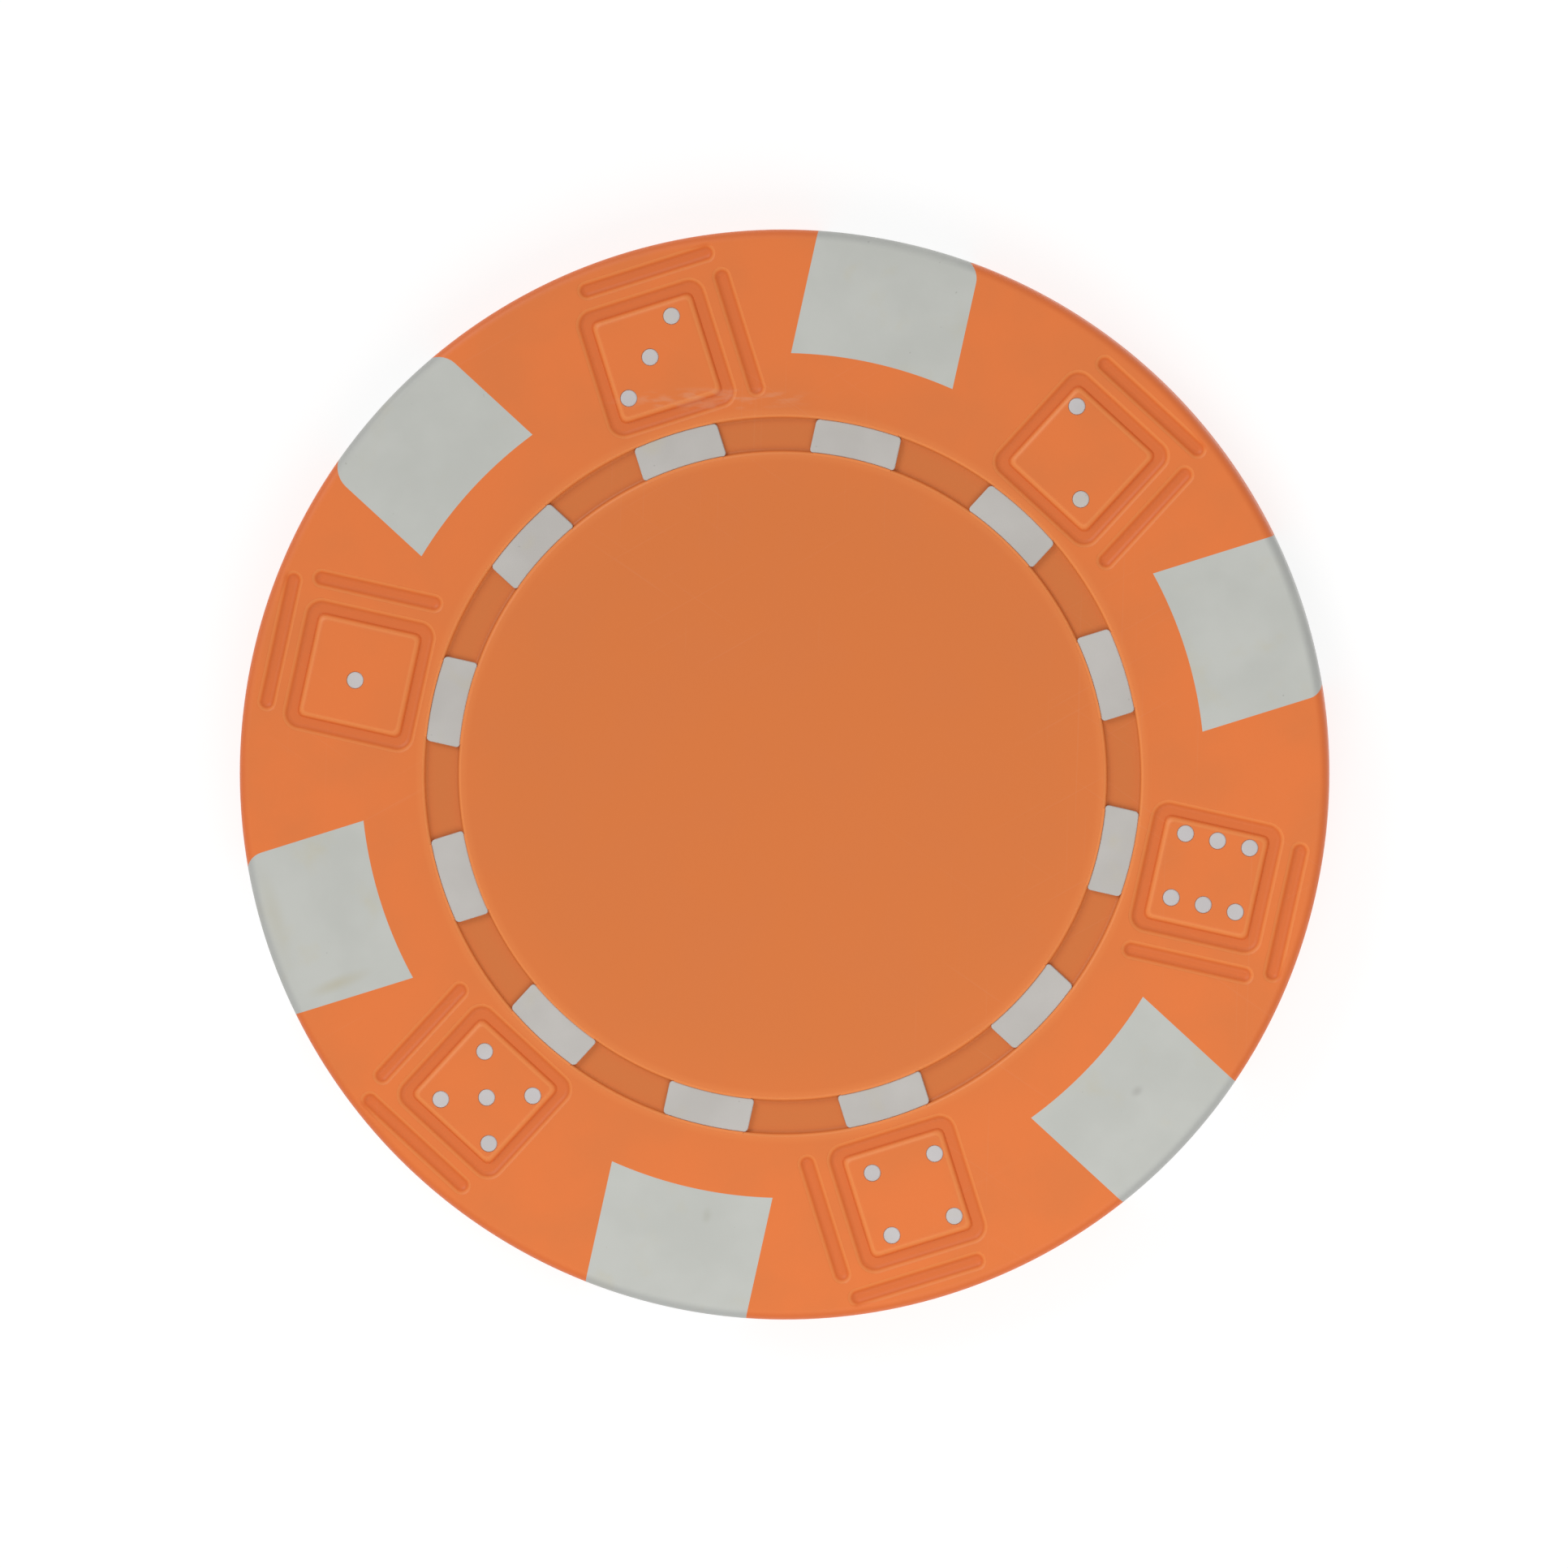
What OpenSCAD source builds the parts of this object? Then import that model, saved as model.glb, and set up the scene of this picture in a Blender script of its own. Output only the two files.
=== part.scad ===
// Weighted poker chip: two orange half shells welded at mid thickness round a steel slug,
// with white edge blocks, stripes and die pips moulded in. The origin is the centre of the
// lower face, +Z is up, and +X runs through the middle of the first edge block.

/* [Chip] */
// Diameter over the rim
chip_dia = 39; // [37:0.5:60]
// Thickness from face to face
chip_thick = 3.3; // [3.1:0.1:6]
// Rounding of the two rim edges
rim_round = 0.35; // [0.1:0.05:0.45]

/* [Steel slug] */
// Thickness of the steel slug
slug_thick = 1.6; // [0.8:0.1:1.8]
// Plastic between the slug and the inner ends of the edge blocks
slug_gap = 0.5; // [0.2:0.1:2]
// Chamfer on the slug's edges
slug_chamfer = 0.15; // [0.05:0.05:0.35]

/* [Edge blocks] */
// Width of an edge block along the rim
block_w = 5.9; // [3:0.1:7]
// Depth of an edge block from the rim inwards
block_depth = 4.4; // [3:0.1:4.9]
// How far a block's hidden tongue reaches into the plastic on each side
tongue_reach = 0.8; // [0.3:0.1:1.2]
// Thickness of the tongue
tongue_thick = 0.6; // [0.3:0.1:1]
// Plastic that hides the tongue's end at the rim
tongue_cover = 1; // [0.5:0.1:2]

/* [Stripe ring] */
// Width of the ring channel
channel_w = 1.2; // [0.8:0.1:2]
// Depth of the ring channel
channel_depth = 0.25; // [0.15:0.05:0.4]
// Rounding of the channel's two lips
lip_round = 0.14; // [0.05:0.01:0.14]
// Length of a stripe along the channel
stripe_len = 3.1; // [1.5:0.1:4.5]
// How far the tops of the stripes lie below the face
stripe_sink = 0.04; // [0.01:0.01:0.1]
// Thickness of the thin white webs that the stripes and the pips stand on
root_thick = 0.3; // [0.15:0.05:0.35]
// How far a web reaches past what stands on it
root_lap = 0.1; // [0.05:0.05:0.2]

/* [Dice] */
// Outer side of a die frame
die_side = 4.77; // [4:0.01:5.4]
// Rounding of the inner corners of a die frame
frame_corner = 0.04; // [0.02:0.02:0.3]
// How far a die frame lies clockwise of its pips
die_shift = 0.2; // [0:0.05:0.3]
// Width of the grooves at the face
groove_w = 0.61; // [0.4:0.01:0.7]
// Depth of the grooves
groove_depth = 0.2; // [0.1:0.05:0.3]
// How far each groove wall slopes in on its way down
groove_draft = 0.14; // [0.02:0.01:0.15]
// Length of the outer line of a die
outer_line_len = 5.07; // [3:0.01:5.2]
// How far the outer line lies clockwise of the die frame
outer_line_shift = 0.58; // [0:0.02:0.7]
// Length of the side line of a die
side_line_len = 4.75; // [3:0.05:5.5]
// Land between the outer line and the rim
rim_land = 0.58; // [0.5:0.02:1.5]
// Land between the outer line and the die frame
outer_gap = 0.35; // [0.2:0.01:1]
// Land between the side line and the die frame
side_gap = 0.41; // [0.2:0.01:1]
// Land between the die frames and the ring channel
channel_gap = 0.38; // [0.2:0.01:1]
// How far the pips lie out from the middle of their die frame, towards the rim
pip_out = 0.1; // [0:0.02:0.2]
// Diameter of a pip
pip_dia = 0.62; // [0.4:0.02:0.7]
// Distance between a die's middle and its outer rows of pips
pip_pitch = 1.17; // [0.9:0.01:1.2]
// Orange plastic between the slug and the pips' root plates
pip_bed = 0.1; // [0.05:0.05:0.15]

/* [Hidden] */
// Overrun of the cuts past a face
over = 0.05;
// Facets of the large and the small round features
$fn = 128;
small_fn = 48;

// One edge block and one die in each sixth of a turn, and two stripes
sectors = 6;
sector_turn = 360 / sectors;
stripes = 2 * sectors;
stripe_turn = 360 / stripes;

// Radii, worked out from the rim inwards
chip_r = chip_dia / 2;
block_inner_r = chip_r - block_depth;
slug_r = block_inner_r - slug_gap;
outer_line_r = chip_r - rim_land - groove_w / 2;
die_r = outer_line_r - groove_w / 2 - outer_gap - die_side / 2;
channel_outer_r = die_r - die_side / 2 - channel_gap;
channel_inner_r = channel_outer_r - channel_w;

// Heights of the upper half
mid_z = chip_thick / 2;
slug_top_z = mid_z + slug_thick / 2;
channel_floor_z = chip_thick - channel_depth;
stripe_top_z = chip_thick - stripe_sink;
pip_root_z = slug_top_z + pip_bed;

// Grooves of a die: the middle of the frame's groove and the radius of its corners
groove_flare = groove_draft * over / groove_depth;
groove_mid = (die_side - groove_w) / 2;
corner_r = groove_w / 2 + groove_flare + frame_corner;
side_line_y = -(die_shift + die_side / 2 + side_gap + groove_w / 2);

// Places of the pips of each number, as shares of the pitch, outwards and anticlockwise
pip_shares = [
    [[0, 0]],
    [[-1, -1], [1, 1]],
    [[1, -1], [0, 0], [-1, 1]],
    [[-1, -1], [-1, 1], [1, -1], [1, 1]],
    [[-1, -1], [-1, 1], [0, 0], [1, -1], [1, 1]],
    [[-1, -1], [0, -1], [1, -1], [-1, 1], [0, 1], [1, 1]]
];
// The sector that each number lies in, anticlockwise from the first edge block
die_sector = [2, 0, 1, 4, 3, 5];
pip_root_side = 2 * (pip_pitch + root_lap) + pip_dia;

// Colours of the three materials
shell_colour = "#d9793f";
insert_colour = "#c3c4be";
steel_colour = "#8d9196";

// Turns a piece of the upper half over to its place in the lower half
module turned_over() {
    translate([0, 0, chip_thick]) rotate([180, 0, 0]) children();
}

// Places a shape at the middle of a die, x pointing to the rim
module at_die(number) {
    rotate([0, 0, (die_sector[number - 1] + 0.5) * sector_turn])
        translate([die_r, 0, 0]) children();
}

// Half section of the whole chip, with its rounded rim edges
module chip_section() {
    square([chip_r - rim_round, chip_thick]);
    translate([0, rim_round]) square([chip_r, chip_thick - 2 * rim_round]);
    for (z = [rim_round, chip_thick - rim_round])
        translate([chip_r - rim_round, z]) circle(r = rim_round, $fn = small_fn);
}

// Half section of the slug
module slug_section() {
    half = slug_thick / 2;
    translate([0, mid_z]) polygon([
        [0, -half], [slug_r - slug_chamfer, -half], [slug_r, slug_chamfer - half],
        [slug_r, half - slug_chamfer], [slug_r - slug_chamfer, half], [0, half]
    ]);
}

// Corner that the rounding takes off one lip of the ring channel
module lip_waste(side) {
    translate([side * lip_round / 2, -lip_round / 2]) difference() {
        square(lip_round, center = true);
        translate([side, -1] * lip_round / 2) circle(r = lip_round, $fn = small_fn);
    }
}

// Half section of the upper shell before the blocks, stripes and dice are cut from it
module shell_section() {
    difference() {
        chip_section();
        square([chip_r + over, mid_z]);
        slug_section();
        translate([channel_inner_r - root_lap, slug_top_z])
            square([channel_w + 2 * root_lap, root_thick]);
        translate([channel_inner_r, channel_floor_z]) square([channel_w, channel_depth + over]);
        translate([channel_inner_r, chip_thick]) lip_waste(-1);
        translate([channel_outer_r, chip_thick]) lip_waste(1);
    }
}

// Section of a die groove, with sloping walls, measured down from the face
module groove_section() {
    foot = groove_w / 2 - groove_draft;
    mouth = groove_w / 2 + groove_flare;
    polygon([[-foot, -groove_depth], [foot, -groove_depth], [mouth, over], [-mouth, over]]);
}

// Straight groove along y
module groove_run(length) {
    rotate([90, 0, 0]) linear_extrude(length, center = true) groove_section();
}

// Line groove along y with round ends
module line_groove(length) {
    run = length - groove_w;
    groove_run(run);
    for (end = [0, 1])
        rotate([0, 0, 180 * end]) translate([0, run / 2, 0])
            rotate_extrude(angle = 180, $fn = small_fn) intersection() {
                groove_section();
                translate([0, -groove_depth]) square([groove_w, groove_depth + over]);
            }
}

// Square frame groove with round corners
module frame_groove() {
    run = 2 * (groove_mid - corner_r);
    for (turn = [0:90:270]) rotate([0, 0, turn]) {
        translate([groove_mid, 0, 0]) groove_run(run);
        translate([groove_mid - corner_r, groove_mid - corner_r, 0])
            rotate_extrude(angle = 90, $fn = small_fn) translate([corner_r, 0]) groove_section();
    }
}

// All grooves of one die: its frame and the two lines that draw it as a solid cube
module die_grooves() {
    translate([0, 0, chip_thick]) {
        translate([0, -die_shift, 0]) frame_groove();
        translate([outer_line_r - die_r, -die_shift - outer_line_shift, 0])
            line_groove(outer_line_len);
        translate([0, side_line_y, 0]) rotate([0, 0, 90]) line_groove(side_line_len);
    }
}

// Plan of an edge block, running past the rim by the given amount
module block_plan(past) {
    difference() {
        translate([0, -block_w / 2]) square([chip_r + past, block_w]);
        circle(r = block_inner_r);
    }
}

// Tongue that locks an edge block between the shells
module block_tongue() {
    tongue_w = block_w + 2 * tongue_reach;
    translate([0, 0, mid_z]) linear_extrude(tongue_thick, center = true) difference() {
        translate([0, -tongue_w / 2]) square([chip_r - tongue_cover, tongue_w]);
        circle(r = block_inner_r);
    }
}

// One edge block, its outer side rounded like the rim
module edge_block(number) {
    color(insert_colour) rotate([0, 0, (number - 1) * sector_turn]) {
        intersection() {
            rotate_extrude() chip_section();
            linear_extrude(chip_thick) block_plan(over);
        }
        block_tongue();
    }
}

// Space that the edge blocks take up in a shell
module block_spaces() {
    for (number = [1:sectors]) rotate([0, 0, (number - 1) * sector_turn]) {
        translate([0, 0, mid_z - over]) linear_extrude(mid_z + 2 * over) block_plan(over);
        block_tongue();
    }
}

// The twelve stripes of one face, between two heights
module stripe_lands(from_z, to_z) {
    translate([0, 0, from_z]) linear_extrude(to_z - from_z) intersection() {
        difference() {
            circle(r = channel_outer_r);
            circle(r = channel_inner_r);
        }
        for (stripe = [0:stripes - 1]) rotate([0, 0, stripe * stripe_turn])
            translate([0, -stripe_len / 2]) square([chip_r, stripe_len]);
    }
}

// Stripes of one face on their hidden web
module stripe_ring() {
    color(insert_colour) {
        stripe_lands(slug_top_z, stripe_top_z);
        translate([0, 0, slug_top_z]) linear_extrude(root_thick) difference() {
            circle(r = channel_outer_r + root_lap);
            circle(r = channel_inner_r - root_lap);
        }
    }
}

// Pips of one die on their root plate, up to the given height
module pips(number, top_z) {
    color(insert_colour) at_die(number) translate([pip_out, 0, pip_root_z]) {
        linear_extrude(root_thick) square(pip_root_side, center = true);
        for (share = pip_shares[number - 1])
            translate(share * pip_pitch) cylinder(h = top_z - pip_root_z, d = pip_dia, $fn = small_fn);
    }
}

// Orange half shell of the upper face
module shell() {
    color(shell_colour) difference() {
        rotate_extrude() shell_section();
        block_spaces();
        stripe_lands(slug_top_z, channel_floor_z + over);
        for (number = [1:sectors]) {
            pips(number, chip_thick + over);
            at_die(number) die_grooves();
        }
    }
}

module upper_shell() {
    shell();
}

module lower_shell() {
    turned_over() shell();
}

module steel_slug() {
    color(steel_colour) rotate_extrude() slug_section();
}

module upper_stripe_ring() {
    stripe_ring();
}

module lower_stripe_ring() {
    turned_over() stripe_ring();
}

module upper_pips(number) {
    pips(number, chip_thick);
}

module lower_pips(number) {
    turned_over() pips(number, chip_thick);
}

upper_shell();
lower_shell();
steel_slug();
for (number = [1:sectors]) {
    edge_block(number);
    upper_pips(number);
    lower_pips(number);
}
upper_stripe_ring();
lower_stripe_ring();
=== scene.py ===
from math import cos, radians, sin, tan, tau

import bmesh
import bpy
from mathutils import Matrix, Vector


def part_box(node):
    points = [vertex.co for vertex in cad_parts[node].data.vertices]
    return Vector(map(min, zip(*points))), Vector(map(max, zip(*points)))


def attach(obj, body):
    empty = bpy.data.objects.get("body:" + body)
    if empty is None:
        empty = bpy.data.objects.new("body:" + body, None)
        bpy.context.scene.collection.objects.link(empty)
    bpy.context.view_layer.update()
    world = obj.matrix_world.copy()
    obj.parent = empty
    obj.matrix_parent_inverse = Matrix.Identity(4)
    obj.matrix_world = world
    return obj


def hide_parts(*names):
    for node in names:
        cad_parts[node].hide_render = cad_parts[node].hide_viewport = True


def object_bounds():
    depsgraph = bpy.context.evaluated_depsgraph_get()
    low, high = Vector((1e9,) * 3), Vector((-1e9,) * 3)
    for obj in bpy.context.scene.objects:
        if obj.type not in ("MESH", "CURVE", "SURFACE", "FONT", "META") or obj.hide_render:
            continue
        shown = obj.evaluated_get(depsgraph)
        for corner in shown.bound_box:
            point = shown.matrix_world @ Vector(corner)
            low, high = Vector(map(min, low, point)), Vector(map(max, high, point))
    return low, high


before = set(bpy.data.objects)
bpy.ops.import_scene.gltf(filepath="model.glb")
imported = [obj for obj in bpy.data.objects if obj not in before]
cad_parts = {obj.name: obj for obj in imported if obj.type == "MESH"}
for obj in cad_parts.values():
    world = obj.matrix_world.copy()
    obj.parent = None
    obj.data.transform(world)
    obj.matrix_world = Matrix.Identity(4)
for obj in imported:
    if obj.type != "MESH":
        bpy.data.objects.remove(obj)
cad_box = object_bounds()


# Steel slug: a disc blanked from sheet steel, which gives the chip its weight. The half shells
# are moulded round it, so it is sealed in, and its solid stays as it is. Its faces keep the
# grain of the rolled sheet and a dull film of oil.
class Signal:
    """A socket of one material's nodes. Python's operators on it add Math nodes."""

    def __init__(self, nodes, socket=None):
        self.nodes = nodes
        self.socket = socket

    def node(self, kind, settings, sockets, output=0):
        """Adds a node, makes its settings, fills or links its sockets, and gives one output."""
        made = self.nodes.new(kind)
        for name, value in settings.items():
            setattr(made, name, value)
        for name, value in sockets.items():
            if isinstance(value, Signal):
                made.id_data.links.new(value.socket, made.inputs[name])
            else:
                made.inputs[name].default_value = value
        return Signal(self.nodes, made.outputs[output])

    def maths(self, operation, *values):
        return self.node("ShaderNodeMath", {"operation": operation}, dict(enumerate(values)))

    def __add__(self, other):
        return self.maths("ADD", self, other)

    def __sub__(self, other):
        return self.maths("SUBTRACT", self, other)

    def __rsub__(self, other):
        return self.maths("SUBTRACT", other, self)

    def __mul__(self, other):
        return self.maths("MULTIPLY", self, other)

    __radd__ = __add__
    __rmul__ = __mul__

    def rise(self, low, high):
        """Goes smoothly from 0 to 1 as this signal goes from low to high."""
        ends = {"Value": self, "From Min": low, "From Max": high}
        return self.node("ShaderNodeMapRange", {"interpolation_type": "SMOOTHSTEP"}, ends)

    def mix(self, from_colour, to_colour):
        """Goes from one colour to the other as this signal goes from 0 to 1."""
        sockets = {0: self, 6: from_colour, 7: to_colour}
        return self.node("ShaderNodeMix", {"data_type": "RGBA"}, sockets, 2)

    def vector(self, operation, value, output=0):
        return self.node("ShaderNodeVectorMath", {"operation": operation}, {0: self, 1: value}, output)

    def length(self):
        """How far these coordinates are from their origin."""
        return self.vector("LENGTH", (0, 0, 0), "Value")

    def from_axis(self):
        """How far these coordinates are from the chip's axis."""
        return self.vector("MULTIPLY", (1, 1, 0)).length()

    def fitted(self, centre, turn, size):
        """Coordinates that are 0 at a centre and 1 a size away from it, turned about the axis."""
        sockets = {"Vector": self, "Location": centre, "Rotation": (0, 0, radians(turn)), "Scale": size}
        return self.node("ShaderNodeMapping", {"vector_type": "TEXTURE"}, sockets)

    def noise(self, size, detail=2.0):
        """Cloudy noise at these coordinates, its features about the given size across."""
        sockets = {"Vector": self, "Scale": 1 / size, "Detail": detail}
        return self.node("ShaderNodeTexNoise", {}, sockets, "Fac")

    def bump(self, depth):
        """Surface normal that follows this signal as a height of the given depth in millimetres."""
        return self.node("ShaderNodeBump", {}, {"Height": self, "Distance": depth / 1000}, "Normal")


def new_finish(name, constants):
    """A material, its shader with the constant sockets set, and coordinates in millimetres."""
    material = bpy.data.materials.new(name)
    material.use_nodes = True
    nodes = material.node_tree.nodes
    shader = nodes["Principled BSDF"]
    for socket, value in constants.items():
        shader.inputs[socket].default_value = value
    metres = Signal(nodes).node("ShaderNodeTexCoord", {}, {}, "Object")
    return material, shader, metres.vector("MULTIPLY", (1000, 1000, 1000))


def feed(shader, **signals):
    """Links signals to the shader's sockets, a space in a socket's name written as _."""
    for name, signal in signals.items():
        shader.id_data.links.new(signal.socket, shader.inputs[name.replace("_", " ")])


def rolled_steel():
    material, shader, place = new_finish("rolled_steel", {"Metallic": 1.0})
    grain = place.fitted((0, 0, 0), 20, (25, 1, 1)).noise(0.12, 3)
    film = place.noise(4).rise(0.4, 0.7)
    feed(
        shader,
        Base_Color=(0.6 * grain + 0.4 * film).mix((0.30, 0.31, 0.32, 1), (0.46, 0.46, 0.45, 1)),
        Roughness=0.28 + 0.15 * grain + 0.1 * film,
        Normal=grain.bump(0.003),
    )
    return material


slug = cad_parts["steel_slug"]
slug.material_slots[0].material = rolled_steel()
slug_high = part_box("steel_slug")[1] * 1000
slug_r = slug_high.x
slug_top = slug_high.z
slug_chamfer = 0.15


# White stripes: twelve on each face, moulded in white ABS on one thin ring that the orange
# shell hides. They stand in the shell's ring channel, their tops a hair below the face.
chip_high = Vector(cad_box[1]) * 1000
chip_r = chip_high.y
chip_thick = chip_high.z
turns = 288
hair = 0.0001
merge_dist = 0.0005
corner_angle = radians(50)
sharp_angle = radians(40)
level_share = 0.9999

channel_outer = 12.81
channel_inner = 11.61
stripe_bite = 0.01
stripe_len = 3.1
stripe_top = chip_thick - 0.04
stripe_corner = 0.14
stripe_edge = 0.04
stripe_count = 12
stripe_reach = radians(20)
stripe_steps = 20
web_lap = 0.1
web_top = slug_top + 0.3
web_grip = 0.15


def rectangle(inner, outer, low, high):
    return [(inner, low), (outer, low), (outer, high), (inner, high)]


def section(points, rounds):
    """One flat face in the XZ plane, with corners rounded by (amount, steps)."""
    shape = bmesh.new()
    corners = [shape.verts.new((x, 0, z)) for x, z in points]
    shape.faces.new(corners)
    for corner, (amount, steps) in rounds.items():
        bmesh.ops.bevel(
            shape, geom=[corners[corner]], affect="VERTICES", offset=amount, offset_type="OFFSET",
            segments=steps, profile=0.5, material=-1,
        )
    return shape


def opened(shape):
    """Leaves only the outline of a section, without the edges that lie on its own axis."""
    axis = [edge for edge in shape.edges if all(abs(vert.co.x) < hair for vert in edge.verts)]
    bmesh.ops.delete(shape, geom=shape.faces[:], context="FACES_ONLY")
    bmesh.ops.delete(shape, geom=axis, context="EDGES")
    return shape


def clean(shape):
    """Closes what is left open, merges doubled points and turns the faces outwards."""
    bmesh.ops.remove_doubles(shape, verts=shape.verts[:], dist=merge_dist)
    bmesh.ops.holes_fill(shape, edges=[edge for edge in shape.edges if edge.is_boundary], sides=0)
    bmesh.ops.recalc_face_normals(shape, faces=shape.faces[:])
    return shape


def spun(shape):
    """Spins a section round the chip's axis into a closed body."""
    opened(shape)
    bmesh.ops.spin(
        shape, geom=shape.verts[:] + shape.edges[:], cent=(0, 0, 0), axis=(0, 0, 1),
        angle=tau, steps=turns, use_merge=True,
    )
    return clean(shape)


def cut(shape, point, outwards, clear=True):
    """Divides a shape along a plane and, if clear is set, takes away what lies beyond it."""
    bmesh.ops.bisect_plane(
        shape, geom=shape.verts[:] + shape.edges[:] + shape.faces[:], plane_co=point,
        plane_no=outwards, clear_outer=clear,
    )


def bevel_edges(shape, edges, amount, steps):
    bmesh.ops.bevel(
        shape, geom=edges, affect="EDGES", offset=amount, offset_type="OFFSET",
        segments=steps, profile=0.5, material=-1,
    )


def corners(shape):
    return [edge for edge in shape.edges if edge.calc_face_angle(0) > corner_angle]


def uprights(shape):
    return [edge for edge in corners(shape) if (edge.verts[0].co - edge.verts[1].co).xy.length < hair]


def at_top(edges, top):
    return [edge for edge in edges if all(vert.co.z > top - hair for vert in edge.verts)]


def bar(inner, outer, low, high, width):
    """A length of a ring between two radii and two heights, cut straight to a width across y."""
    shape = opened(section(rectangle(inner, outer, low, high), {}))
    bmesh.ops.rotate(shape, matrix=Matrix.Rotation(-stripe_reach, 3, "Z"), verts=shape.verts[:])
    bmesh.ops.spin(
        shape, geom=shape.verts[:] + shape.edges[:], cent=(0, 0, 0), axis=(0, 0, 1),
        angle=2 * stripe_reach, steps=stripe_steps,
    )
    for side in (1, -1):
        cut(shape, (0, side * width / 2, 0), (0, side, 0))
    return clean(shape)


def gathered(parts):
    """One bmesh of several shapes, each put in its place."""
    joined = bmesh.new()
    for shape, place in parts:
        start = len(joined.verts)
        single = bpy.data.meshes.new("single")
        shape.to_mesh(single)
        joined.from_mesh(single)
        bpy.data.meshes.remove(single)
        joined.verts.ensure_lookup_table()
        bmesh.ops.transform(joined, matrix=place, verts=joined.verts[start:])
    return joined


def placed(shape, place):
    return gathered([(shape, place)])


def as_object(shape, name):
    mesh = bpy.data.meshes.new(name)
    shape.to_mesh(mesh)
    piece = bpy.data.objects.new(name, mesh)
    bpy.context.scene.collection.objects.link(piece)
    return piece


def combined(shape, *steps):
    """The shape after a row of steps, each an operation and the shape that it uses."""
    body = as_object(shape, "body")
    tools = []
    for operation, tool_shape in steps:
        tool = as_object(tool_shape, "tool")
        step = body.modifiers.new("step", "BOOLEAN")
        step.operation = operation
        step.object = tool
        step.solver = "MANIFOLD"
        tools.append(tool)
    bpy.context.view_layer.update()
    ready = body.evaluated_get(bpy.context.evaluated_depsgraph_get())
    result = bmesh.new()
    result.from_mesh(ready.to_mesh())
    ready.to_mesh_clear()
    for spent in [body, *tools]:
        bpy.data.meshes.remove(spent.data)
    return result


def turned(angle):
    return Matrix.Rotation(radians(angle), 4, "Z")


turned_over = Matrix.Translation((0, 0, chip_thick)) @ Matrix.Rotation(radians(180), 4, "X")
upright = Matrix.Identity(4)
at_stripe = [turned(360 / stripe_count * n) for n in range(stripe_count)]


def is_level(face):
    return abs(face.normal.z) > level_share


def finished(shape, name, finish):
    """Makes a shape in millimetres the piece that stands for the CAD node of the same name."""
    bmesh.ops.remove_doubles(shape, verts=shape.verts[:], dist=2 * merge_dist)
    many_sided = [face for face in shape.faces if len(face.verts) > 4]
    bmesh.ops.triangulate(shape, faces=many_sided, ngon_method="BEAUTY")
    for face in shape.faces:
        face.smooth = not is_level(face)
    for edge in shape.edges:
        level = [is_level(face) for face in edge.link_faces]
        edge.smooth = edge.calc_face_angle(0) < sharp_angle and level.count(True) != 1
    bmesh.ops.scale(shape, vec=(0.001, 0.001, 0.001), verts=shape.verts[:])
    piece = as_object(shape, name + "_look")
    piece.data.materials.append(finish)
    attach(piece, "root")
    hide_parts(name)


def stripe(top):
    """One stripe from inside the web up to a height, with rounded corners."""
    inner, outer = channel_inner - stripe_bite, channel_outer + stripe_bite
    shape = bar(inner, outer, web_top - web_grip, top, stripe_len)
    bevel_edges(shape, uprights(shape), stripe_corner, 3)
    return shape


def stripe_ring():
    single = stripe(stripe_top)
    bevel_edges(single, at_top(corners(single), stripe_top), stripe_edge, 2)
    web = rectangle(channel_inner - web_lap, channel_outer + web_lap, slug_top, web_top)
    stripes = gathered((single, place) for place in at_stripe)
    return combined(spun(section(web, {})), ("UNION", stripes))


def white_abs(name, light, shade, marks=()):
    """White ABS toned by age, with faint stains, dark specks and marks, and painted shade greying it at
    the chip's rim.
    """
    material, shader, place = new_finish(name, {"IOR": 1.5})
    tone = place.noise(2.5, 3)
    patches = tone.rise(0.1, 0.6)
    grain = place.noise(0.14, 2)
    stain = place.noise(1.8, 4).rise(0.56, 0.8)
    speck = place.noise(0.22, 1).rise(0.76, 0.84)
    # Painted shade: a grey band, in patches, on the rounded rim where it turns down to the side.
    rim = place.from_axis().rise(chip_r - 0.4, chip_r - 0.1)
    colour = tone.rise(0.3, 0.7).mix(shade, light)
    colour = (0.35 * stain).mix(colour, (0.60, 0.54, 0.36, 1))
    colour = (0.5 * speck).mix(colour, (0.30, 0.29, 0.26, 1))
    # Grey painted shade at the rim.
    colour = (0.45 * rim * patches).mix(colour, (0.34, 0.345, 0.34, 1))
    for centre, turn, size, tint in marks:
        reach = place.fitted((*centre, chip_thick), turn, (*size, 0.1)).length()
        colour = (0.7 * reach.rise(1, 0) * patches).mix(colour, tint)
    feed(
        shader,
        Base_Color=colour,
        Roughness=0.42 + 0.12 * tone + 0.08 * grain,
        Normal=grain.bump(0.004),
    )
    return material


stripe_white = white_abs("stripe_white", (0.60, 0.575, 0.545, 1), (0.55, 0.525, 0.495, 1))
finished(stripe_ring(), "upper_stripe_ring", stripe_white)
finished(placed(stripe_ring(), turned_over), "lower_stripe_ring", stripe_white)


# White pips: the spots of each die, moulded in white ABS on a square root plate that the
# orange shell hides. They come up through the shell, flush with its face, with soft edges.
die_r = 15.575
pip_out = 0.1
die_turns = {1: 150, 2: 30, 3: 90, 4: 270, 5: 210, 6: 330}
pip_r = 0.31
pip_sides = 32
pip_pitch = 1.17
pip_edge = 0.06
pip_plate = 3.16
plate_low = slug_top + 0.1
plate_high = plate_low + 0.3
pip_shares = {
    1: [(0, 0)],
    2: [(-1, -1), (1, 1)],
    3: [(1, -1), (0, 0), (-1, 1)],
    4: [(-1, -1), (-1, 1), (1, -1), (1, 1)],
    5: [(-1, -1), (-1, 1), (0, 0), (1, -1), (1, 1)],
    6: [(-1, -1), (0, -1), (1, -1), (-1, 1), (0, 1), (1, 1)],
}


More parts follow.
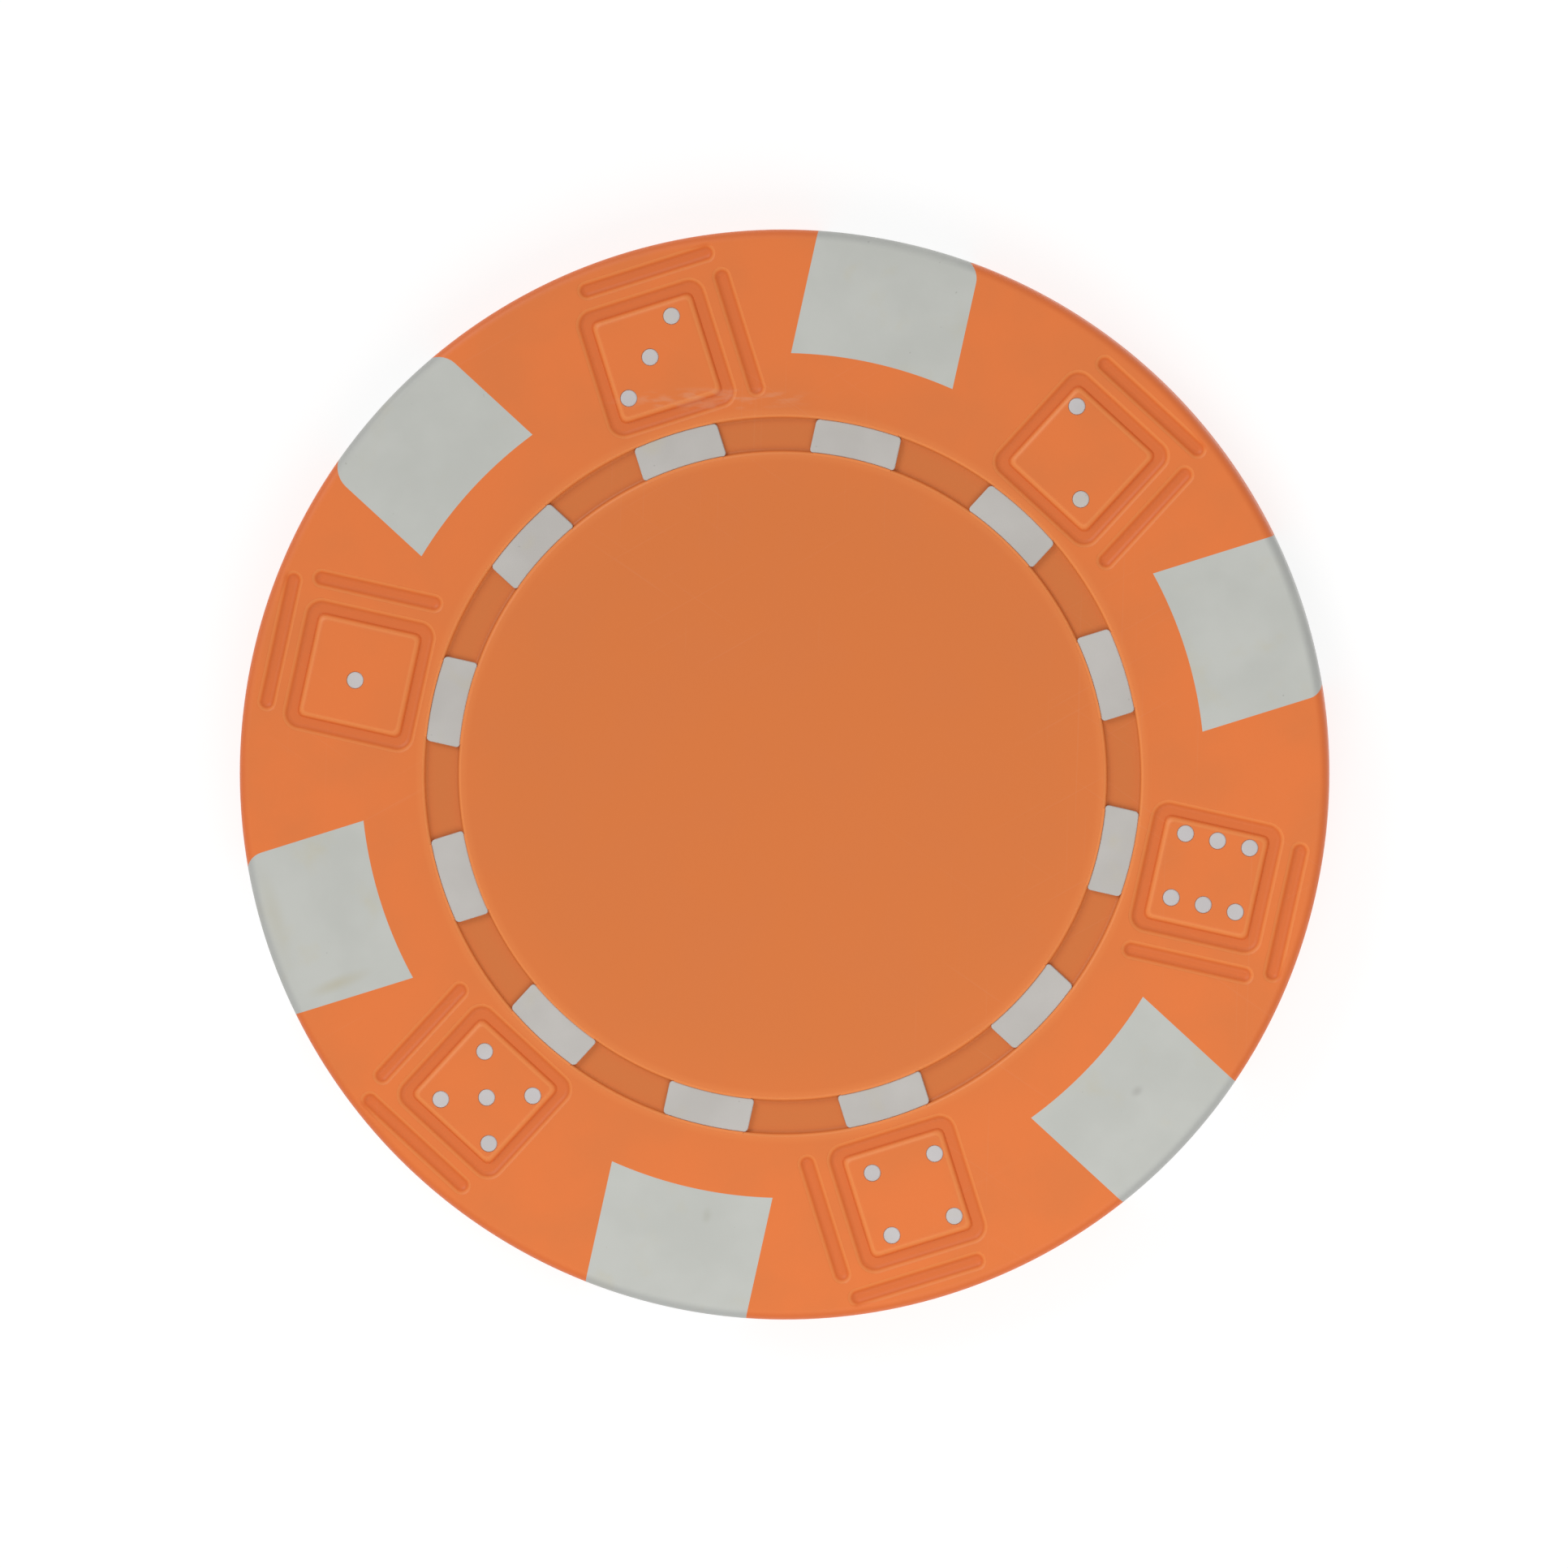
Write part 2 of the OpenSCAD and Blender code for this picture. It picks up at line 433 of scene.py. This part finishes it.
def at_die(number, out=0, along=0, up=0):
    """The place of a die, or one at a distance from its middle."""
    return turned(die_turns[number]) @ Matrix.Translation((die_r + out, along, up))


def brick(length, width, low, high, middle=0):
    """A plain box between two heights, its middle at a place along x."""
    shape = bmesh.new()
    bmesh.ops.create_cube(shape, size=1)
    bmesh.ops.scale(shape, vec=(length, width, high - low), verts=shape.verts[:])
    bmesh.ops.translate(shape, vec=(middle, 0, (low + high) / 2), verts=shape.verts[:])
    return shape


def scored(shape):
    """Divides the faces along the lines that the pips stand on, so that each hole meets edges."""
    for line in (-pip_pitch, 0, pip_pitch):
        for across in ((1, 0, 0), (0, 1, 0)):
            cut(shape, line * Vector(across), across, clear=False)
    return shape


def root_plate(number):
    plate = scored(brick(pip_plate, pip_plate, plate_low, plate_high))
    return placed(plate, at_die(number, pip_out))


def pip_pegs(number, top, edge):
    """The round pegs of one die, from inside their root plate up to a height."""
    low = (plate_low + plate_high) / 2
    peg = bmesh.new()
    bmesh.ops.create_cone(
        peg, cap_ends=True, segments=pip_sides, radius1=pip_r, radius2=pip_r, depth=top - low,
        matrix=Matrix.Translation((0, 0, (top + low) / 2)),
    )
    if edge > 0:
        bevel_edges(peg, at_top(peg.edges, top), edge, 4)
    return gathered(
        (peg, at_die(number, pip_out + out * pip_pitch, along * pip_pitch))
        for out, along in pip_shares[number]
    )


pip_white = white_abs("pip_white", (0.655, 0.625, 0.625, 1), (0.605, 0.575, 0.575, 1))
for number in die_turns:
    pips = combined(root_plate(number), ("UNION", pip_pegs(number, chip_thick, pip_edge)))
    finished(placed(pips, turned_over), f"lower_pips_{number}", pip_white)
    finished(pips, f"upper_pips_{number}", pip_white)


# White edge blocks: six blocks of white ABS through the whole thickness of the rim. A tongue on
# each side locks them between the half shells. The orange has flowed round some of their outer
# corners, so these are rounded by different amounts.
mid_z = chip_thick / 2
rim_round = 0.35
rim_steps = 10
block_w = 5.9
block_inner = chip_r - 4.4
block_corners = {1: (0, 0.5), 2: (0, 0.65), 3: (0.85, 0.75), 4: (0, 0.65), 5: (0, 0), 6: (0, 0)}
block_turn = 60
tongue_w = block_w + 1.6
tongue_end = chip_r - 1
tongue_half = 0.3
tongue_start = block_inner + 0.05
over = 0.06
spare = 1


def at_block(number):
    return turned(block_turn * (number - 1))


def block_space(number):
    """The space of one edge block, past both faces and the rim, with its outer corners rounded."""
    start, end = block_inner - 2 * spare, chip_r + spare
    shape = brick(end - start, block_w, -over, chip_thick + over, (start + end) / 2)
    for side in (1, -1):
        outwards = Vector(((chip_r ** 2 - block_w ** 2 / 4) ** 0.5, side * block_w / 2, 0)).normalized()
        cut(shape, outwards * (chip_r + over), outwards)
        clean(shape)
    for side, amount in zip((1, -1), block_corners[number]):
        outer = [edge for edge in uprights(shape) if edge.verts[0].co.x > chip_r - spare]
        outer = [edge for edge in outer if edge.verts[0].co.y * side > block_w / 2 - hair]
        if amount > 0:
            bevel_edges(shape, outer, amount, 8)
    core = spun(section(rectangle(0, block_inner, -2 * over, chip_thick + 2 * over), {}))
    return placed(combined(shape, ("DIFFERENCE", core)), at_block(number))


def block_tongue(number):
    shape = bar(tongue_start, chip_r, mid_z - tongue_half, mid_z + tongue_half, tongue_w)
    cut(shape, (tongue_end, 0, 0), (1, 0, 0))
    return placed(clean(shape), at_block(number))


def chip_body():
    rounding = (rim_round, rim_steps)
    return spun(section(rectangle(0, chip_r, 0, chip_thick), {1: rounding, 2: rounding}))


block_marks = [
    ((8.75, -14.5), 20, (0.34, 0.24), (0.42, 0.42, 0.39, 1)),
    ((-7.29, -14.21), 60, (0.40, 0.24), (0.44, 0.44, 0.36, 1)),
    ((-17.4, -2.35), 4, (1.5, 0.35), (0.54, 0.51, 0.39, 1)),
    ((-18.9, 0.6), 88, (2.4, 0.5), (0.575, 0.565, 0.485, 1)),
]
block_white = white_abs("block_white", (0.61, 0.62, 0.58, 1), (0.57, 0.58, 0.54, 1), block_marks)
for number in block_corners:
    block = combined(block_space(number), ("INTERSECT", chip_body()), ("UNION", block_tongue(number)))
    finished(block, f"edge_block_{number}", block_white)


# Orange half shells: the chip's two faces, moulded in orange ABS round the slug and the white
# pieces and welded at mid thickness. Each has a blank centre, a ring channel and six die
# drawings of drafted grooves. The lower shell is the upper one turned over.
seam = 0.05
channel_floor = chip_thick - 0.25
channel_lip = 0.14
channel_fillet = 0.1
collar_top = chip_thick - 0.01
die_shift = 0.2
die_side = 4.77
groove_w = 0.61
groove_depth = 0.2
groove_draft = 0.14
groove_lip = 0.13
groove_fillet = 0.1
wing_slope = radians(12)
frame_corner = 0.6
pad_corner = 0.2
pad_lip = 0.13
outer_line_x = 18.615 - die_r
outer_line_y = -(die_shift + 0.58)
outer_line_len = 5.07
side_line_y = -3.3
side_line_len = 4.75


def shell_body():
    """The moulded half shell before anything is cut from it."""
    points = [
        (0, slug_top), (channel_inner - web_lap, slug_top), (channel_inner - web_lap, web_top),
        (channel_outer + web_lap, web_top), (channel_outer + web_lap, slug_top),
        (slug_r - slug_chamfer, slug_top), (slug_r, slug_top - slug_chamfer), (slug_r, mid_z),
        (chip_r, mid_z), (chip_r, chip_thick), (channel_outer, chip_thick),
        (channel_outer, channel_floor), (channel_inner, channel_floor),
        (channel_inner, chip_thick), (0, chip_thick),
    ]
    rounds = {
        8: (seam, 1), 9: (rim_round, rim_steps), 10: (channel_lip, 6), 11: (channel_fillet, 3),
        12: (channel_fillet, 3), 13: (channel_lip, 6),
    }
    return spun(section(points, rounds))


def recess(reach, run_x, run_y):
    """A drafted recess with a rounded lip: its wall section is swept round a box of runs."""
    wing = 3 * groove_lip
    wing_rise = wing * tan(wing_slope)
    points = [
        (0, -groove_depth), (reach - groove_draft, -groove_depth), (reach, 0),
        (reach + wing, wing_rise), (0, wing_rise),
    ]
    shape = opened(section(points, {1: (groove_fillet, 3), 2: (groove_lip, 5)}))
    bmesh.ops.translate(shape, vec=(run_x / 2, -run_y / 2, 0), verts=shape.verts[:])
    moving = shape.verts[:] + shape.edges[:]
    for along, corner in (((0, 1), (1, 1)), ((-1, 0), (-1, 1)), ((0, -1), (-1, -1)), ((1, 0), (1, -1))):
        run = Vector((along[0] * run_x, along[1] * run_y, 0))
        if run.length > 0:
            moving = bmesh.ops.spin(shape, geom=moving, axis=(0, 0, 1), dvec=run, steps=1)["geom_last"]
        moving = bmesh.ops.spin(
            shape, geom=moving, cent=(corner[0] * run_x / 2, corner[1] * run_y / 2, 0), axis=(0, 0, 1),
            angle=tau / 4, steps=10,
        )["geom_last"]
    return clean(shape)


def die_recesses():
    """The recesses of one die: its frame, with the middle still missing, and its two lines."""
    frame_run = die_side - 2 * frame_corner
    drawing = recess(frame_corner, frame_run, frame_run)
    outer_line = recess(groove_w / 2, 0, outer_line_len - groove_w)
    side_line = recess(groove_w / 2, 0, side_line_len - groove_w)
    return gathered([
        (drawing, Matrix.Translation((0, -die_shift, 0))),
        (outer_line, Matrix.Translation((outer_line_x, outer_line_y, 0))),
        (side_line, Matrix.Translation((0, side_line_y, 0)) @ turned(90)),
    ])


def die_pad():
    """The raised middle of a die, inside its frame groove, its foot sunk into the shell."""
    top = die_side - 2 * groove_w
    height = 2 * groove_depth
    foot = top + 4 * groove_draft
    shape = brick(foot, foot, -height, 0)
    upper = [vert for vert in shape.verts if vert.co.z > -hair]
    bmesh.ops.scale(shape, vec=(top / foot, top / foot, 1), verts=upper)
    slanted = [edge for edge in shape.edges if abs(edge.verts[0].co.z - edge.verts[1].co.z) > hair]
    bevel_edges(shape, slanted, pad_corner, 3)
    bevel_edges(shape, at_top(shape.edges, 0), pad_lip, 4)
    bmesh.ops.translate(shape, vec=(-pip_out, -die_shift, 0), verts=shape.verts[:])
    scored(shape)
    bmesh.ops.translate(shape, vec=(pip_out, 0, 0), verts=shape.verts[:])
    return clean(shape)


def half_shell():
    at_face = [at_die(number, up=chip_thick) for number in die_turns]
    die, pad, window = die_recesses(), die_pad(), stripe(chip_thick + over)
    collar_in, collar_out = channel_inner - channel_lip, channel_outer + channel_lip
    collar = bar(collar_in, collar_out, web_top, collar_top, stripe_len - 2 * stripe_corner)
    plates = [root_plate(number) for number in die_turns]
    pegs = [pip_pegs(number, chip_thick + over, 0) for number in die_turns]
    return combined(
        shell_body(),
        ("DIFFERENCE", gathered((die, place) for place in at_face)),
        ("UNION", gathered((pad, place) for place in at_face)),
        ("UNION", gathered((collar, place) for place in at_stripe)),
        ("DIFFERENCE", gathered((window, place) for place in at_stripe)),
        ("DIFFERENCE", gathered((plate, upright) for plate in plates)),
        ("DIFFERENCE", gathered((peg, upright) for peg in pegs)),
    )


def orange_abs():
    """Orange ABS with soft clouding, grime and painted shade in its recesses, lips paler from wear and
    a painted highlight, painted shade at its rim, pale scuffs and a fine moulded grain.
    """
    material, shader, place = new_finish("orange_abs", {"IOR": 1.5})
    radius = place.from_axis()
    past_inner, past_outer = radius - channel_inner, radius - channel_outer
    height = place.node("ShaderNodeSeparateXYZ", {}, {0: place}, "Z")
    depth = height.maths("MINIMUM", height, chip_thick - height)
    cloud = place.noise(3, 4)
    grain = place.noise(0.16, 2)
    # Painted shade with some grime: darker where the face sinks into the grooves and the channel, and
    # darker again on the channel floor.
    sunk = depth.rise(0.06, 0.18) * radius.rise(chip_r - 0.2, chip_r - 0.4)
    in_channel = sunk * past_outer.rise(0.34, 0.19)
    flat_r = chip_r - rim_round
    # Painted highlight with some rubbed wear: paler on the rounded lips of the grooves and the channel.
    lip = depth.rise(0, 0.02) * depth.rise(0.15, 0.06) * radius.rise(flat_r, flat_r - 0.1)
    # Painted shade: a darker band on the chip's rounded rim.
    rim = radius.rise(flat_r, chip_r - 0.1)
    # Painted highlight with some wear: pale bands on the face beside the channel's lips.
    ring_wear_and_highlight = past_inner.rise(-0.41, -0.11) * past_inner.rise(0.04, -0.01)
    ring_wear_and_highlight = ring_wear_and_highlight + past_outer.rise(0.39, 0.14) * past_outer.rise(-0.06, -0.01)
    streak = place.fitted((0, 0, 0), -17, (0.7, 0.2, 1)).noise(1, 4)
    scuff = place.fitted((1.6, 13.6, 0), -17, (4.4, 0.5, 100)).length()
    scuff = scuff.rise(1, 0.4) * streak.rise(0.42, 0.62)
    hairs = 0
    for turn in (12, 71, 128):
        lines = place.fitted((turn, 3, 0), turn, (9, 0.07, 9)).noise(1, 1).rise(0.70, 0.78)
        hairs = lines * place.noise(7 + turn / 40, 1).rise(0.5, 0.62) + hairs
    # The face is a little darker towards its middle.
    colour = radius.rise(9, 16).mix((0.79, 0.206, 0.044, 1), (0.90, 0.216, 0.047, 1))
    colour = (0.5 * cloud.rise(0.35, 0.75)).mix(colour, (0.77, 0.205, 0.050, 1))
    # Painted shade with some grime in the recesses and on the channel floor.
    colour = (0.7 * sunk).mix(colour, (0.74, 0.170, 0.037, 1))
    colour = (0.6 * in_channel).mix(colour, (0.68, 0.20, 0.047, 1))
    # Painted highlight with some wear on the lips and beside the channel.
    colour = (0.8 * lip + 0.25 * ring_wear_and_highlight).mix(colour, (0.95, 0.30, 0.08, 1))
    # Painted shade at the rim.
    colour = (0.6 * rim).mix(colour, (0.78, 0.150, 0.025, 1))
    colour = (0.25 * scuff).mix(colour, (0.80, 0.44, 0.28, 1))
    colour = (0.05 * hairs).mix(colour, (0.86, 0.48, 0.30, 1))
    feed(
        shader,
        Base_Color=colour,
        Roughness=0.40 + 0.08 * cloud + 0.08 * grain + 0.15 * scuff,
        Normal=(grain - 0.25 * hairs).bump(0.004),
    )
    return material


orange = orange_abs()
blocks = gathered((block_space(number), upright) for number in block_corners)
tongues = gathered((block_tongue(number), upright) for number in block_corners)
half = half_shell()
for name, place in (("upper_shell", upright), ("lower_shell", turned_over)):
    shell = combined(placed(half, place), ("DIFFERENCE", blocks), ("DIFFERENCE", tongues))
    finished(shell, name, orange)


# Studio: a wide pale floor just below the chip, which glows enough to show almost white and still
# takes a faint shadow. The light is soft and comes from all round, with one lamp close above the
# chip's lower edge and a larger one far off at the upper left.
scene = bpy.context.scene
scene.view_settings.view_transform = "Standard"
picture_turn = 17.31
floor_half = 3
floor_drop = 0.00002
floor_constants = {
    "Base Color": (0.3, 0.3, 0.3, 1),
    "Roughness": 0.9,
    "Specular IOR Level": 0.0,
    "Emission Color": (1, 1, 1, 1),
    "Emission Strength": 0.78,
}
floor_shape = bmesh.new()
bmesh.ops.create_grid(floor_shape, x_segments=1, y_segments=1, size=floor_half)
bmesh.ops.translate(floor_shape, vec=(0, 0, -floor_drop), verts=floor_shape.verts[:])
floor = as_object(floor_shape, "floor")
floor.data.materials.append(new_finish("pale_floor", floor_constants)[0])

world = bpy.data.worlds.new("studio")
scene.world = world
world.use_nodes = True
background = world.node_tree.nodes["Background"]
background.inputs["Color"].default_value = (1, 1, 1, 1)
background.inputs["Strength"].default_value = 0.42


def soft_light(name, angle, height, away, size, power, gloss):
    """A square soft light that faces the chip's middle, with or without a reflection in it."""
    light = bpy.data.lights.new(name, "AREA")
    light.size = size
    light.energy = power
    lamp = bpy.data.objects.new(name, light)
    scene.collection.objects.link(lamp)
    place = Vector((away * cos(radians(angle)), away * sin(radians(angle)), height))
    lamp.matrix_world = Matrix.Translation(place) @ place.to_track_quat("Z", "Y").to_matrix().to_4x4()
    lamp.visible_camera = False
    lamp.visible_glossy = gloss


soft_light(
    "over_light", angle=-70 - picture_turn, height=0.11, away=0.07, size=0.1, power=0.066, gloss=False,
)
soft_light(
    "key_light", angle=135 - picture_turn, height=0.40, away=0.45, size=0.3, power=1.0, gloss=True,
)


# Camera: a long lens almost straight above the chip. It is turned so that the first edge block
# lies to the right and a little up, and it aims just past the middle of the upper face.
distance = 0.36
lean = radians(4.5)
lean_turn = radians(17.6)
picture_px = 1932
chip_r_px = 672.9
aim = (0.080, -0.276)
sensor = 36
look = -Vector((sin(lean) * cos(lean_turn), sin(lean) * sin(lean_turn), cos(lean)))
right = Vector((cos(radians(-picture_turn)), sin(radians(-picture_turn)), 0))
right = (right - right.dot(look) * look).normalized()
up = right.cross(look)
target = Vector((0, 0, chip_thick / 1000)) + right * aim[0] / 1000 + up * aim[1] / 1000
facing = Matrix((right, up, -look)).transposed().to_4x4()
camera = bpy.data.objects.new("camera", bpy.data.cameras.new("camera"))
scene.collection.objects.link(camera)
camera.data.sensor_width = sensor
camera.data.lens = chip_r_px * distance / (chip_r / 1000) / picture_px * sensor
camera.data.clip_start = 0.01
camera.matrix_world = Matrix.Translation(target - look * distance) @ facing
scene.camera = camera
